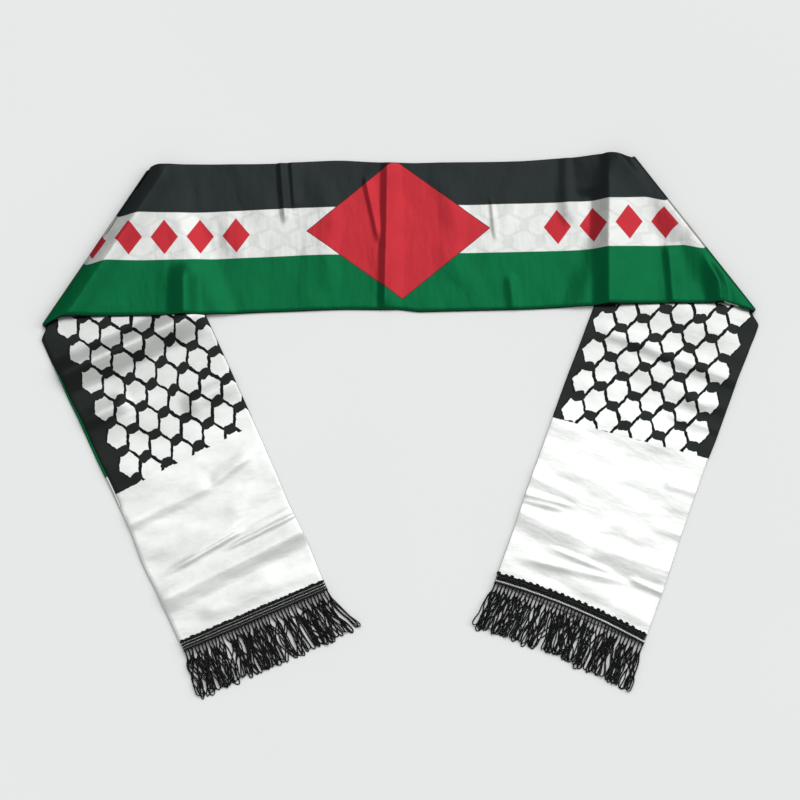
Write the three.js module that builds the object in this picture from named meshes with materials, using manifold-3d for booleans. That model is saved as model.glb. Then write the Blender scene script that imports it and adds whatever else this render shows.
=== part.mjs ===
// Supporter scarf: a long tube of printed satin, pressed flat, with a looped fringe on each end.
// It lies on a table, folded under along a slanting line near each end, so that the middle of the
// scarf makes a band across the top and both ends run down from beneath it.
//
// The tube has two walls: the flag panel, whose two long edges turn round the sides of the tube, and
// the net panel, which lies between those turned edges. Each wall is a solid of its own in each of
// the three stretches that show: the band, which carries both folds, and the two tails.
//
// Millimetres, +Z up. The origin is the middle of the band, on the table under it. +X runs to the
// right along the band, and the tails run towards -Y.
import * as THREE from "three";
import Module from "manifold-3d";

const wasm = await Module();
wasm.setup();

// ---------- Driving dimensions ----------
const WALL = 1.0; // one layer of satin with its seam allowances, as a wall
const GAP = 0.3; // clear space between two pieces that lie together
const FOLD_RADIUS = 2.5; // bend of the tube's middle surface where it turns under
const BAND_CLIMB = 1.7; // degrees that the band rises to the right on the table

const HALF_TUBE = WALL + GAP / 2; // middle surface to the outside of either wall
const TUBE = 2 * HALF_TUBE; // the whole flat tube
const LIP = WALL + GAP; // how far the net panel stays inside the edge of the flag panel

// Cloth laid by hand wanders a few millimetres: each row gives how far the black edge (plus) and the
// green edge (minus) lie from a stretch's centre line. In the band, at runs along it to the right.
const BAND_EDGES = [
  { at: -340, black: 78, green: -82 },
  { at: -316, black: 78, green: -73 },
  { at: -190, black: 78, green: -74 },
  { at: -75, black: 77.5, green: -71.5 },
  { at: -5, black: 74.5, green: -72.5 },
  { at: 20, black: 73.5, green: -75.5 },
  { at: 115, black: 72.5, green: -76.5 },
  { at: 165, black: 74.5, green: -75.5 },
  { at: 206, black: 79.5, green: -74.5 },
  { at: 231, black: 73.5, green: -75 },
  { at: 300, black: 73.5, green: -76 },
  { at: 338, black: 73.5, green: -88 },
];

// Each end of the scarf. outer is the sign of X on its side. fold gives the slanting fold line in the
// band's frame, and emerges the place along the band where the tail's black edge comes out from under
// it. heading is the way the tail runs, in degrees, and top the middle of the fringe's top line, which
// slants by skew and arches by bow, in mm. turn is +1 where the black edge is left of the heading.
// In edges, at runs back from the fringe towards the fold.
const TAILS = [
  {
    side: "left",
    outer: -1,
    turn: 1,
    fold: { black: { s: -239, w: 78 }, green: { s: -340, w: -82 } },
    emerges: -182.5,
    heading: -66,
    top: { x: -135.2, y: -368.2 },
    skew: 0,
    bow: 0,
    edges: [
      { at: 0, black: 72.5, green: -73 },
      { at: 45, black: 74, green: -73.5 },
      { at: 80, black: 73, green: -75 },
      { at: 120, black: 74, green: -73 },
      { at: 155, black: 74.5, green: -73.5 },
      { at: 280, black: 75, green: -76.5 },
    ],
  },
  {
    side: "right",
    outer: 1,
    turn: -1,
    fold: { black: { s: 231, w: 73.5 }, green: { s: 338, w: -88 } },
    emerges: 182,
    heading: -109.5,
    top: { x: 160.3, y: -361.7 },
    skew: 5,
    bow: 4.5,
    edges: [
      { at: 0, black: 75, green: -75 },
      { at: 40, black: 75, green: -75.5 },
      { at: 100, black: 76, green: -74.5 },
      { at: 165, black: 76, green: -74.5 },
      { at: 280, black: 74.5, green: -76 },
    ],
  },
];

// The largest creases, which stand up in the upper wall. Each runs straight from (s0, w0) to (s1, w1)
// in its stretch's frame, and falls away over right and left mm on those sides of its run.
const CREASES = {
  band: [
    { s0: -13, w0: 84, s1: -16, w1: -84, rise: 3.0, left: 20, right: 12 },
    { s0: -36, w0: 60, s1: -26, w1: -60, rise: 1.6, left: 12, right: 14 },
    { s0: 206, w0: 110, s1: 199, w1: -96, rise: 3.6, left: 22, right: 14 },
    { s0: -112, w0: 96, s1: -107, w1: 16, rise: 2.0, left: 14, right: 12 },
    { s0: 257, w0: 20, s1: 262, w1: -84, rise: 2.0, left: 14, right: 12 },
    { s0: -212, w0: -10, s1: -206, w1: -90, rise: 2.0, left: 14, right: 12 },
  ],
  left: [
    { s0: 72, w0: 92, s1: 42, w1: -92, rise: 4.2, left: 16, right: 12 },
    { s0: 98, w0: 90, s1: 70, w1: -40, rise: 2.2, left: 11, right: 11 },
    { s0: 152, w0: 60, s1: 116, w1: -92, rise: 2.2, left: 16, right: 12 },
  ],
  right: [
    { s0: 76, w0: 80, s1: 60, w1: -80, rise: 3.6, left: 18, right: 14 },
    { s0: 40, w0: 70, s1: 44, w1: -92, rise: 3.0, left: 14, right: 12 },
    { s0: 106, w0: 94, s1: 98, w1: 20, rise: 2.0, left: 12, right: 12 },
  ],
};
const CREASE_FADE = 0.2; // share of a crease's length over which each of its ends dies out

// Where the band lies over a tail it stays at the tail's height past its edge, and then comes down.
const RAMP = { start: 9, length: 24 };
const FOLD_EASE = 30; // how far from the fold line the band takes to settle on the tail
const EDGE_EASE = 90; // how far from the fold a tail takes to reach its own edges

// How finely each stretch is divided. The wall that lies underneath is plain, so it needs less.
const BENDS = 6;
const SWING_ROWS = 9;
const MIDDLE_ROWS = 30;
const TAIL_ROWS = 24;
const TAIL_GATHER = 1.4; // above 1 the rows lie closer towards the fringe, where the creases are
const SLICES = { upper: 8, under: 4 };

// Trim: a braided heading, sewn on the net panel over the hem, with a row of loops hanging from it.
const HEADING = { height: 11.5, past_hem: 2.5, wall: 1.1, cords: 4, cord_rise: 0.5, rows: 12 };
const LOOPS = { count: 40, length: 46, spread: 3, half_width: 0.85, root: 2, drop: 9 };
const YARN = { width: 1.0, height: 0.9, above_table: 0.3 };
const FAN = { left: { black: 9, green: -6 }, right: { black: -3, green: -1 } }; // degrees of lean

const COLOURS = { flag: 0x14744c, net: 0xf0f1f0, fringe: 0x24272a };

// ---------- Small helpers ----------
const radians = THREE.MathUtils.degToRad;
const mix = THREE.MathUtils.lerp;
const smooth = (x) => THREE.MathUtils.smoothstep(x, 0, 1);

/** The plan direction at an angle from +X. */
function direction(degrees) {
  return new THREE.Vector2(Math.cos(radians(degrees)), Math.sin(radians(degrees)));
}

/** Reads one column of a table at a place between two of its rows, with no corner at a row. */
function readTable(rows, column, at) {
  const next = rows.findIndex((row) => row.at > at);
  if (next === 0) return rows[0][column];
  if (next < 0) return rows[rows.length - 1][column];
  const [low, high] = [rows[next - 1], rows[next]];
  return mix(low[column], high[column], smooth((at - low.at) / (high.at - low.at)));
}

/** How high the creases of a stretch lift its upper wall at one place. */
function creaseHeight(creases, s, w) {
  let height = 0;
  for (const { s0, w0, s1, w1, rise, left, right } of creases) {
    const line = new THREE.Vector2(s1 - s0, w1 - w0);
    const length = line.length();
    line.divideScalar(length);
    const from = new THREE.Vector2(s - s0, w - w0);
    const share = from.dot(line) / length;
    const off = line.cross(from);
    const reach = off > 0 ? left : right;
    const fade = smooth(share / CREASE_FADE) * smooth((1 - share) / CREASE_FADE);
    height = Math.max(height, rise * fade * (1 - smooth(Math.abs(off) / reach)));
  }
  return height;
}

// ---------- The plan: frames of the band and the tails ----------
const bandAlong = direction(BAND_CLIMB);
const bandAcross = direction(BAND_CLIMB + 90);

/** A plan point from the band's own frame: s along it, w across it to the black edge. */
function bandPlan(s, w) {
  return bandAlong.clone().multiplyScalar(s).addScaledVector(bandAcross, w);
}

/** A plan point from a tail's own frame: back from the fringe, w across to the black edge. */
function tailPlan(tail, back, w) {
  const along = direction(tail.heading);
  const across = direction(tail.heading + 90 * tail.turn);
  return new THREE.Vector2(tail.top.x, tail.top.y).addScaledVector(along, -back).addScaledVector(across, w);
}

/** The place of a plan point in a tail's own frame. */
function inTail(tail, plan) {
  const from = plan.clone().sub(new THREE.Vector2(tail.top.x, tail.top.y));
  return {
    back: -from.dot(direction(tail.heading)),
    w: from.dot(direction(tail.heading + 90 * tail.turn)),
  };
}

/** The axis of a fold in plan: the fold line moved in along the band by the depth of the bend. */
function foldAxis(tail) {
  const { black, green } = tail.fold;
  const line = bandPlan(green.s, green.w).sub(bandPlan(black.s, black.w)).normalize();
  const outward = new THREE.Vector2(line.y, -line.x);
  if (outward.dot(bandAlong) * tail.outer < 0) outward.negate();
  const shift = (-tail.outer * (FOLD_RADIUS + HALF_TUBE)) / Math.abs(outward.dot(bandAlong));
  return {
    outward,
    black: bandPlan(black.s + shift, black.w),
    green: bandPlan(green.s + shift, green.w),
    s: { black: black.s + shift, green: green.s + shift },
  };
}

/** Both ends of a tail where it leaves its fold, in the tail's frame, one gap clear of the band. */
function tailStart(tail) {
  const axis = foldAxis(tail);
  return {
    black: inTail(tail, axis.black.addScaledVector(axis.outward, -GAP)),
    green: inTail(tail, axis.green.addScaledVector(axis.outward, -GAP)),
  };
}

/** How far one long edge of a tail lies from its centre line. */
function tailEdge(tail, edge, back) {
  const start = tailStart(tail)[edge];
  return mix(start.w, readTable(tail.edges, edge, back), smooth((start.back - back) / EDGE_EASE));
}

/** How far the fringe's top line arches towards the fold, for a share of the way across. */
function bowHeight(tail, share) {
  return tail.bow * 4 * share * (1 - share);
}

/** How far the fringe's top line stands off the square, for a share of the way across. */
function topLine(tail, share) {
  return tail.skew * (1 - 2 * share) + bowHeight(tail, share);
}

/** How far the band's middle surface lies above a tail's, at a plan point of the band. */
function climb(plan) {
  let height = 0;
  for (const tail of TAILS) {
    const axis = foldAxis(tail);
    const fromFold = -plan.clone().sub(axis.black).dot(axis.outward);
    const settled = mix(2 * FOLD_RADIUS, TUBE + GAP, smooth(fromFold / FOLD_EASE));
    const place = inTail(tail, plan);
    const pastEdge = place.w - tailEdge(tail, "black", place.back);
    height = Math.max(height, settled * (1 - smooth((pastEdge - RAMP.start) / RAMP.length)));
  }
  return height;
}

// ---------- Stations: lines across the cloth that the walls run through ----------
// A station is a function of the share of the way from the black edge to the green edge. It gives the
// middle surface there, the way that the flag panel faces, and how far the upper wall is lifted.

/** The band's station between a place along its black edge and one along its green edge. */
function bandStation({ black, green }) {
  return (share) => {
    const s = mix(black, green, share);
    const w = mix(readTable(BAND_EDGES, "black", black), readTable(BAND_EDGES, "green", green), share);
    const plan = bandPlan(s, w);
    return {
      middle: new THREE.Vector3(plan.x, plan.y, HALF_TUBE + climb(plan)),
      facing: new THREE.Vector3(0, 0, 1),
      lift: creaseHeight(CREASES.band, s, w),
    };
  };
}

/** A fold's station: 0 degrees on top, where the band arrives, and 180 at its foot, in the tail. */
function foldStation(tail, degrees) {
  const axis = foldAxis(tail);
  const out = Math.sin(radians(degrees));
  const up = Math.cos(radians(degrees));
  return (share) => {
    const plan = axis.black.clone().lerp(axis.green, share).addScaledVector(axis.outward, FOLD_RADIUS * out);
    return {
      middle: new THREE.Vector3(plan.x, plan.y, HALF_TUBE + FOLD_RADIUS * (1 + up)),
      facing: new THREE.Vector3(axis.outward.x * out, axis.outward.y * out, up),
      lift: 0,
    };
  };
}

/** A tail's station, part of the way from its fold to its hem. */
function tailStation(tail, part) {
  const start = tailStart(tail);
  const hem = HEADING.past_hem - HEADING.height;
  const black = mix(start.black.back, tail.skew + hem, part);
  const green = mix(start.green.back, -tail.skew + hem, part);
  return (share) => {
    const back = mix(black, green, share) + part * bowHeight(tail, share);
    const w = mix(tailEdge(tail, "black", black), tailEdge(tail, "green", green), share);
    const plan = tailPlan(tail, back, w);
    const clearOfFringe = smooth((back - topLine(tail, share) - GAP) / HEADING.height);
    return {
      middle: new THREE.Vector3(plan.x, plan.y, HALF_TUBE),
      facing: new THREE.Vector3(0, 0, -1),
      lift: clearOfFringe * creaseHeight(CREASES[tail.side], back, w),
    };
  };
}

/** The band's rows from a fold to where its tail's edge comes out, swinging round to that edge. */
function swingRows(tail) {
  const from = foldAxis(tail).s;
  const to = { black: from.black - tail.outer * 8, green: tail.emerges - tail.outer * 4 };
  return Array.from({ length: SWING_ROWS }, (_, i) => ({
    black: mix(from.black, to.black, (i + 1) / SWING_ROWS),
    green: mix(from.green, to.green, (i + 1) / SWING_ROWS),
  }));
}

/** Every station of the band, from the foot of one fold to the foot of the other. */
function bandStations() {
  const [left, right] = TAILS;
  const bends = Array.from({ length: BENDS + 1 }, (_, i) => (180 * i) / BENDS);
  const leftRows = swingRows(left);
  const rightRows = swingRows(right);
  const [from, to] = [leftRows[SWING_ROWS - 1], rightRows[SWING_ROWS - 1]];
  const middleRows = Array.from({ length: MIDDLE_ROWS }, (_, i) => ({
    black: mix(from.black, to.black, (i + 1) / (MIDDLE_ROWS + 1)),
    green: mix(from.green, to.green, (i + 1) / (MIDDLE_ROWS + 1)),
  }));
  return [
    ...bends.map((degrees) => foldStation(left, degrees)).reverse(),
    ...[...leftRows, ...middleRows, ...rightRows.reverse()].map(bandStation),
    ...bends.map((degrees) => foldStation(right, degrees)),
  ];
}

/** Every station of a tail, from its fold to its hem. */
function tailStations(tail) {
  return Array.from({ length: TAIL_ROWS + 1 }, (_, i) =>
    tailStation(tail, 1 - (1 - i / TAIL_ROWS) ** TAIL_GATHER),
  );
}

// ---------- Walls ----------
/** Joins rings of points into one closed body. outline is a ring laid flat, for its two end caps. */
function skin(rings, outline) {
  const size = outline.length;
  const points = rings.flat();
  const faces = [];
  for (let ring = 0; ring < rings.length - 1; ring += 1) {
    for (let i = 0; i < size; i += 1) {
      const [a, b] = [ring * size + i, ring * size + ((i + 1) % size)];
      const [c, d] = [a + size, b + size];
      // Each four-sided patch is split along its shorter diagonal, alike on both sides of a wall.
      const split = points[a].distanceTo(points[d]) < points[b].distanceTo(points[c]);
      faces.push(...(split ? [[a, b, d], [a, d, c]] : [[a, b, c], [b, d, c]]));
    }
  }
  const last = (rings.length - 1) * size;
  const turn = THREE.ShapeUtils.area(outline);
  for (const cap of THREE.ShapeUtils.triangulateShape(outline, [])) {
    const forward = THREE.ShapeUtils.area(cap.map((i) => outline[i])) * turn > 0;
    const [a, b, c] = forward ? cap : [...cap].reverse();
    faces.push([c, b, a], [last + a, last + b, last + c]);
  }
  const volume = faces.reduce((sum, [a, b, c]) => sum + points[a].dot(points[b].clone().cross(points[c])), 0);
  const outward = volume > 0 ? faces : faces.map(([a, b, c]) => [a, c, b]);
  const geometry = new THREE.BufferGeometry().setFromPoints(points);
  geometry.setIndex(outward.flat());
  geometry.computeVertexNormals();
  return geometry;
}

/** The section of the flag panel: a flat tray whose two sides wrap the edges of the net panel. */
function flagSection(slices) {
  const outside = Array.from({ length: slices + 1 }, (_, i) => ({ share: i / slices, in: 0, n: HALF_TUBE }));
  const inside = outside.map(({ share }) => ({ share, in: 0, n: GAP / 2 })).reverse();
  inside[0].in = -WALL;
  inside[slices].in = WALL;
  return [
    ...outside,
    { share: 1, in: 0, n: -HALF_TUBE },
    { share: 1, in: -WALL, n: -HALF_TUBE },
    ...inside,
    { share: 0, in: WALL, n: -HALF_TUBE },
    { share: 0, in: 0, n: -HALF_TUBE },
  ];
}

/** The section of the net panel: a flat strip that stops one gap short of the flag panel's sides. */
function netSection(slices) {
  const outside = Array.from({ length: slices + 1 }, (_, i) => ({ share: i / slices, in: 0, n: -HALF_TUBE }));
  outside[0].in = LIP;
  outside[slices].in = -LIP;
  const inside = outside.map((point) => ({ ...point, n: -GAP / 2 })).reverse();
  return [...outside, ...inside];
}

/** Runs a section through stations. in is mm in from an edge, and n mm to the flag panel's side. */
function wall(stations, section) {
  const width = (station) => station(0).middle.distanceTo(station(1).middle);
  const rings = stations.map((station) =>
    section.map((point) => {
      const { middle, facing, lift } = station(point.share + point.in / width(station));
      middle.addScaledVector(facing, point.n);
      if (point.n * facing.z > 0) middle.z += lift;
      return middle;
    }),
  );
  // The flat outline is bowed a little, so that no three of its points lie in line.
  const nominal = width(stations[0]);
  const bowed = ({ share, n }) => n + GAP * share * (1 - share);
  const outline = section.map((point) => new THREE.Vector2(point.share * nominal + point.in, bowed(point)));
  return skin(rings, outline);
}

// ---------- Fringe ----------
/** A point of the trim: down mm below its top line, for a share of the way across the tail. */
function trimPoint(tail, share, down, z) {
  const back = topLine(tail, share) - down;
  const w = mix(tailEdge(tail, "black", back), tailEdge(tail, "green", back), share);
  const plan = tailPlan(tail, back, w);
  return new THREE.Vector3(plan.x, plan.y, z);
}

/** The heading: a strip with its braided cords raised along it. */
function heading(tail) {
  const bottom = TUBE + GAP;
  const section = [
    new THREE.Vector2(HEADING.height, bottom),
    new THREE.Vector2(0, bottom),
    new THREE.Vector2(0, bottom + HEADING.wall),
  ];
  const pitch = HEADING.height / HEADING.cords;
  for (let cord = 0; cord < HEADING.cords; cord += 1) {
    section.push(new THREE.Vector2((cord + 0.5) * pitch, bottom + HEADING.wall + HEADING.cord_rise));
    section.push(new THREE.Vector2((cord + 1) * pitch, bottom + HEADING.wall));
  }
  const rings = Array.from({ length: HEADING.rows + 1 }, (_, i) =>
    section.map((point) => trimPoint(tail, i / HEADING.rows, point.x, point.y)),
  );
  return skin(rings, section);
}

/** One loop of yarn: down one leg, round its tip and back up the other, three-sided throughout. */
function loop(tail, index) {
  const share = (index + 0.5) / LOOPS.count;
  const root = trimPoint(tail, share, HEADING.height, 0);
  const fan = FAN[tail.side];
  const along = direction(tail.heading + mix(fan.black, fan.green, share));
  const across = new THREE.Vector2(-along.y, along.x);
  const length = LOOPS.length + LOOPS.spread * Math.sin(index * 2.4);
  const held = TUBE + GAP + (HEADING.wall - YARN.height) / 2;
  const leg = [
    { down: -LOOPS.root, z: held },
    { down: LOOPS.root / 2, z: held },
    { down: LOOPS.drop, z: YARN.above_table },
    { down: length - 3 * LOOPS.half_width, z: YARN.above_table },
  ];
  const path = [
    ...leg.map((place) => ({ ...place, side: -1, tip: 0 })),
    { down: length, z: YARN.above_table, side: 0, tip: 1 },
    ...leg.map((place) => ({ ...place, side: 1, tip: 0 })).reverse(),
  ];
  // The yarn's section lies across the way that it runs: sideways in a leg, and lengthways at the tip.
  const section = [
    new THREE.Vector2(-YARN.width / 2, 0),
    new THREE.Vector2(YARN.width / 2, 0),
    new THREE.Vector2(0, YARN.height),
  ];
  const rings = path.map(({ down, z, side, tip }) =>
    section.map((point) => {
      const plan = new THREE.Vector2(root.x, root.y)
        .addScaledVector(along, down + tip * point.x)
        .addScaledVector(across, side * (LOOPS.half_width + point.x));
      return new THREE.Vector3(plan.x, plan.y, z + point.y);
    }),
  );
  return skin(rings, section);
}

/** A closed geometry as a solid that can be joined. */
function solid(geometry) {
  const triVerts = new Uint32Array(geometry.index.array);
  const vertProperties = new Float32Array(geometry.attributes.position.array);
  return new wasm.Manifold(new wasm.Mesh({ numProp: 3, vertProperties, triVerts }));
}

/** The whole trim of one tail, joined into one body: the loops are fused to the heading alone. */
function fringe(tail) {
  let joined = solid(heading(tail));
  for (let index = 0; index < LOOPS.count; index += 1) joined = joined.add(solid(loop(tail, index)));
  const { vertProperties, triVerts } = joined.getMesh();
  const geometry = new THREE.BufferGeometry();
  geometry.setAttribute("position", new THREE.BufferAttribute(new Float32Array(vertProperties), 3));
  geometry.setIndex(new THREE.BufferAttribute(new Uint32Array(triVerts), 1));
  geometry.computeVertexNormals();
  return geometry;
}

// ---------- The scarf ----------
const satin = (color) => new THREE.MeshStandardMaterial({ color, roughness: 0.45, metalness: 0 });
const yarn = new THREE.MeshStandardMaterial({ color: COLOURS.fringe, roughness: 0.7, metalness: 0 });

/** One named piece of the scarf. */
function piece(name, geometry, material) {
  const mesh = new THREE.Mesh(geometry, material);
  mesh.name = name;
  return mesh;
}

const scarf = new THREE.Group();
scarf.add(piece("flag_panel_band", wall(bandStations(), flagSection(SLICES.upper)), satin(COLOURS.flag)));
scarf.add(piece("net_panel_band", wall(bandStations(), netSection(SLICES.upper)), satin(COLOURS.net)));
for (const tail of TAILS) {
  const stations = tailStations(tail);
  const { side } = tail;
  scarf.add(piece(`flag_panel_tail_${side}`, wall(stations, flagSection(SLICES.under)), satin(COLOURS.flag)));
  scarf.add(piece(`net_panel_tail_${side}`, wall(stations, netSection(SLICES.upper)), satin(COLOURS.net)));
  scarf.add(piece(`fringe_${side}`, fringe(tail), yarn));
}

export default scarf;
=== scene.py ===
"""Supporter scarf: a long tube of printed satin with a looped fringe on each end.

The tube lies squashed flat on a table with both of its ends folded under. Lengths are in millimetres in
this script, and become metres where a mesh is made.
"""
from __future__ import annotations

import logging
import math
from dataclasses import dataclass, field
from enum import Enum
from functools import lru_cache
from typing import Mapping, Sequence

import bpy
import numpy as np
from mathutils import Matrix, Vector

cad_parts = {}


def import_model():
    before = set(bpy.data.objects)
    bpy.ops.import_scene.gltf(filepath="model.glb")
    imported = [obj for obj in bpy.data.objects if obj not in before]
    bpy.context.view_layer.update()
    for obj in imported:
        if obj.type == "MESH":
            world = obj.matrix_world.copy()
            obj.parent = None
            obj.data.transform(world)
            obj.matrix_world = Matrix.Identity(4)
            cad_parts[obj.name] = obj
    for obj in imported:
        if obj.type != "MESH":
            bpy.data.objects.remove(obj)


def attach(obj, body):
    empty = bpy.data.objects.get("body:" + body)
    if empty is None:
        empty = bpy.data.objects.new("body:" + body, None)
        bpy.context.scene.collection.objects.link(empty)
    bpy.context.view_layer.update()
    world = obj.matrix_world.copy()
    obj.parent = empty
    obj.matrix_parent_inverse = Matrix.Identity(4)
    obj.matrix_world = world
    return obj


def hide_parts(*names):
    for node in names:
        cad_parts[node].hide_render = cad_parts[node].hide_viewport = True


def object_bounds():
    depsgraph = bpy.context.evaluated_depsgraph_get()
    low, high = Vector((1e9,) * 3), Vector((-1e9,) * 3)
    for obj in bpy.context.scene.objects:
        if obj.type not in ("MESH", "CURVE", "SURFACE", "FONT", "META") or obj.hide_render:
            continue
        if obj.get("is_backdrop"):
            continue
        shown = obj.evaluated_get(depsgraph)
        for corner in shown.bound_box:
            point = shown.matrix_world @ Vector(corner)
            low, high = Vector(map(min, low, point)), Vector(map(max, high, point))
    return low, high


LOG = logging.getLogger("scarf")
MM = 0.001
Socket = bpy.types.NodeSocket


# ---------- Small helpers ----------
def smooth(x: np.ndarray | float) -> np.ndarray:
    """Ease from 0 to 1, flat at both ends."""
    x = np.clip(x, 0.0, 1.0)
    return x * x * (3.0 - 2.0 * x)


def mix(a: np.ndarray | float, b: np.ndarray | float, share: np.ndarray | float) -> np.ndarray:
    """Blend from a to b."""
    return a + (b - a) * share


def direction(degrees: float) -> np.ndarray:
    """The plan direction at an angle from +X."""
    return np.array([math.cos(math.radians(degrees)), math.sin(math.radians(degrees))])


def linear(hex_colour: str) -> tuple[float, float, float, float]:
    """Turn an sRGB hex colour into the linear one that a shader takes.

    Args:
        hex_colour: Six hex digits.

    Returns:
        Red, green, blue and alpha.
    """
    channels = [int(hex_colour[i : i + 2], 16) / 255 for i in (0, 2, 4)]
    low = [c / 12.92 if c <= 0.04045 else ((c + 0.055) / 1.055) ** 2.4 for c in channels]
    return (*low, 1.0)


def read_table(rows: np.ndarray, column: int, at: np.ndarray) -> np.ndarray:
    """Read one column of a table at places between its rows, with no corner at a row.

    Args:
        rows: One row for each place, the place itself first.
        column: The column to read.
        at: The places.

    Returns:
        The column's value at each place.
    """
    at = np.asarray(at, dtype=float)
    high = np.clip(np.searchsorted(rows[:, 0], at, side="right"), 1, len(rows) - 1)
    share = smooth((at - rows[high - 1, 0]) / (rows[high, 0] - rows[high - 1, 0]))
    return mix(rows[high - 1, column], rows[high, column], share)


class Side(Enum):
    """The two ends of the scarf."""

    LEFT = "left"
    RIGHT = "right"


# ---------- How the scarf lies ----------
@dataclass(frozen=True, eq=False)
class Tail:
    """One end of the scarf, from its fold to its hem.

    outer is the sign of X on its side, and turn is +1 where the black edge is left of the heading.
    fold gives s and w of the fold line's black and green ends, in the band's frame. top is the middle
    of the fringe's top line. edges holds back, black w and green w.
    """

    side: Side
    outer: int
    turn: int
    fold: tuple[tuple[float, float], tuple[float, float]]
    heading: float
    top: tuple[float, float]
    skew: float
    bow: float
    edges: np.ndarray

    def in_plan(self, back: np.ndarray, w: np.ndarray) -> np.ndarray:
        """Plan points from the tail's own frame."""
        along = direction(self.heading)
        across = direction(self.heading + 90 * self.turn)
        return np.array(self.top) - np.multiply.outer(back, along) + np.multiply.outer(w, across)

    def own(self, plan: np.ndarray) -> tuple[np.ndarray, np.ndarray]:
        """Back and w of plan points in the tail's own frame."""
        off = plan - np.array(self.top)
        return -off @ direction(self.heading), off @ direction(self.heading + 90 * self.turn)

    def top_line(self, share: np.ndarray) -> np.ndarray:
        """How far the fringe's top line stands off the square."""
        return self.skew * (1 - 2 * share) + self.bow * 4 * share * (1 - share)


@dataclass(frozen=True)
class Crease:
    """A crease that runs straight from (s0, w0) to (s1, w1) and falls away over left and right mm.

    sharp runs from 0, a soft roll, to 1, a sharply creased line. fade is the share of its length over which
    each of its ends dies out.
    """

    s0: float
    w0: float
    s1: float
    w1: float
    rise: float
    left: float
    right: float
    sharp: float = 0.0
    fade: float = 0.2

    def height(self, s: np.ndarray, w: np.ndarray) -> np.ndarray:
        """How high the crease stands at each place.

        Args:
            s: Places along the stretch.
            w: Places across it.

        Returns:
            Heights, negative in a trough.
        """
        line = np.array([self.s1 - self.s0, self.w1 - self.w0], dtype=float)
        length = float(np.hypot(*line))
        line /= length
        from_s, from_w = s - self.s0, w - self.w0
        share = (from_s * line[0] + from_w * line[1]) / length
        off = line[0] * from_w - line[1] * from_s
        x = np.clip(np.abs(off) / np.where(off > 0, self.left, self.right), 0, 1)
        ends = smooth(share / self.fade) * smooth((1 - share) / self.fade)
        return self.rise * ends * mix(1 - smooth(x), (1 - x) ** 1.3, self.sharp)


CREASES = {stretch: [Crease(*row) for row in rows] for stretch, rows in {
    "band": (
        (-8, 84, -16.5, -84, 2.6, 16, 6.5, 0.9, 0.14), (-2, 60, -8, -84, 1.1, 10, 3.5, 0.9, 0.14),
        (-31.5, 64, -18.5, -8, 1.3, 9, 3.8, 0.9), (202.5, 110, 195.5, -96, 5.4, 46, 16.5, 1.0, 0.1),
        (198, 120, 196, 30, 3.4, 12, 42, 0.1, 0.15), (-112, 96, -107, 10, 2.0, 10, 4.5, 0.9),
        (-101, 90, -98, 24, 1.4, 12, 5, 0.8), (254.5, -14, 257, -90, 2.2, 16, 5.5, 0.9),
        (-203, -16, -206, -110, 4.4, 18, 17, 0.3, 0.25), (-216, 100, -213, 40, 1.2, 10, 6, 0.6),
        (88.5, 40, 92, -10, 0.6, 5, 3, 0.9), (163, 84, 162, 4, 1.3, 14, 12, 0.2),
        (299, -12, 303, -96, 3.8, 9, 16, 0.6, 0.16), (-62, 30, -70, -60, 0.5, 16, 16),
        (104, -40, 108, -90, 1.2, 9, 9, 0.5), (50, 60, 56, -60, 0.5, 18, 18),
        (-165, 60, -160, -20, 0.5, 20, 16),
    ),
    "left": (
        (69, 92, 63, -6, 1.2, 6, 4, 1.0, 0.3), (76.5, 92, 70, 4, 0.6, 6, 4, 0.9, 0.3),
        (76, 40, 63.5, -66, 1.1, 6, 4, 1.0, 0.3), (83, 34, 70, -40, 0.5, 6, 4, 0.9, 0.3),
        (52, 96, 41, -92, 1.6, 17, 16, 0.6, 0.15), (212, 96, 206, 16, 1.6, 14, 20, 0.3),
        (141, 68, 124, 4, 0.8, 12, 7, 0.7, 0.3), (126, 24, 122, -92, 1.0, 18, 10, 0.6),
        (103, 96, 95, 10, 0.5, 16, 14, 0.1), (281, -98, 287, 84, 4.5, 23, 20, 0.4, 0.16),
        (230, -86, 236, -20, 1.7, 14, 16, 0.3), (20, 40, 14, -50, 0.7, 14, 12, 0.1),
    ),
    "right": (
        (84, 92, 90, 22, 0.75, 5, 5, 1.0, 0.3), (78, 84, 84, 30, 0.5, 5, 4, 0.9, 0.3),
        (68, 90, 58, -16, 1.1, 14, 22, 0.2, 0.25), (58, 14, 60, -92, 1.3, 14, 22, 0.2, 0.25),
        (45, 46, 40, -36, 0.8, 7, 7, 0.8, 0.3), (25, 66, 37, -46, 0.7, 8, 7, 0.7, 0.25),
        (41, -40, 36, -90, 0.8, 7, 6, 0.9), (138, -40, 142, -90, 0.7, 10, 8, 0.3),
        (96, -40, 97, -90, 0.5, 8, 8, 0.3), (106, 94, 98, 20, 0.8, 12, 12, 0.1),
        (222, -30, 228, -90, 0.7, 12, 9, 0.4), (263, 74, 255, -94, 1.25, 14, 12, 0.4, 0.15),
        (204, -20, 204, -90, 0.5, 7, 7, 0.4),
    ),
}.items()}
SEEDS = {"band": 5, "left": 11, "right": 23}
BAND_EDGES = np.array([
    (-341, 64, -82), (-316, 64, -73), (-254, 64, -73.5), (-226, 78, -74), (-190, 78, -74.6),
    (-120, 77, -73.2), (-60, 78.4, -72.6), (-5, 74.8, -74.2), (20, 73.6, -77.2), (115, 72.5, -77.6),
    (165, 74.5, -76.8), (203, 76.9, -76), (229, 71.5, -76), (300, 71.5, -77), (336.5, 71.5, -87)])
DRIFT = np.array([
    (-180, 2.0), (-130, 1.0), (-90, 0.0), (-20, 0.2), (70, 1.9), (160, 2.0), (190, 1.0), (225, 0.3)])
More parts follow.
